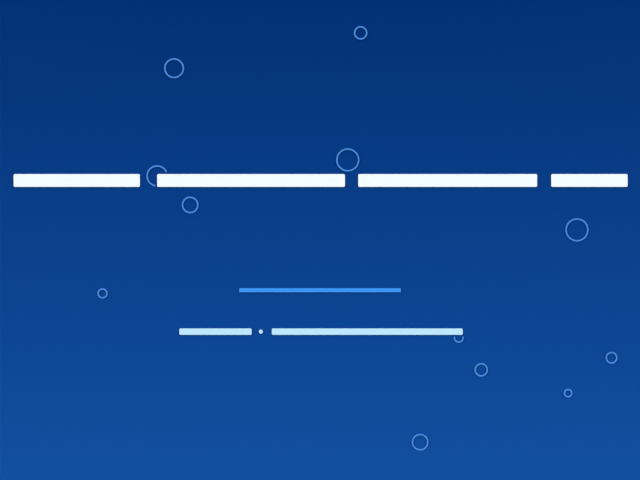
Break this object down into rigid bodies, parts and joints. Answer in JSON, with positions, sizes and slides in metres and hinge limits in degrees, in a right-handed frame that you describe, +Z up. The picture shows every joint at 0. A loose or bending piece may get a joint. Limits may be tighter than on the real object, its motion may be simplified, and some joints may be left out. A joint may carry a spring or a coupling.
{
  "type": "wall sign",
  "caption": "Landscape wall sign: flat blue-graded panel with raised ring outlines, a short rule and blank text strips, hung by a square-tube frame bonded to its back.",
  "frame": {"origin": "middle of the top rail's underside, where the wall's hooks carry the sign", "axes": "+X to the right as the face is read, +Y from the face to the wall, +Z up"},
  "size_m": [0.4, 0.0184, 0.3],
  "materials": {
    "printed_face": "satin laminate over a print that runs from dark blue at the top to mid blue at the foot",
    "ring_acrylic": "satin light blue",
    "title_acrylic": "satin white",
    "rule_acrylic": "satin bright blue",
    "caption_acrylic": "satin pale blue",
    "aluminium_tube": "satin anodised",
    "pad_rubber": "matt black"
  },
  "bodies": {
    "root": {"panel": "printed_face", "ring_01": "ring_acrylic", "ring_02": "ring_acrylic", "ring_03": "ring_acrylic", "ring_04": "ring_acrylic", "ring_05": "ring_acrylic", "ring_06": "ring_acrylic", "ring_07": "ring_acrylic", "ring_08": "ring_acrylic", "ring_09": "ring_acrylic", "ring_10": "ring_acrylic", "ring_11": "ring_acrylic", "ring_12": "ring_acrylic", "title_strip_1": "title_acrylic", "title_strip_2": "title_acrylic", "title_strip_3": "title_acrylic", "title_strip_4": "title_acrylic", "rule": "rule_acrylic", "caption_strip_1": "caption_acrylic", "caption_strip_2": "caption_acrylic", "caption_dot": "caption_acrylic", "rail_top": "aluminium_tube", "rail_right": "aluminium_tube", "rail_bottom": "aluminium_tube", "rail_left": "aluminium_tube", "pad_top_left": "pad_rubber", "pad_top_right": "pad_rubber", "pad_bottom_left": "pad_rubber", "pad_bottom_right": "pad_rubber"}
  },
  "joints": []
}
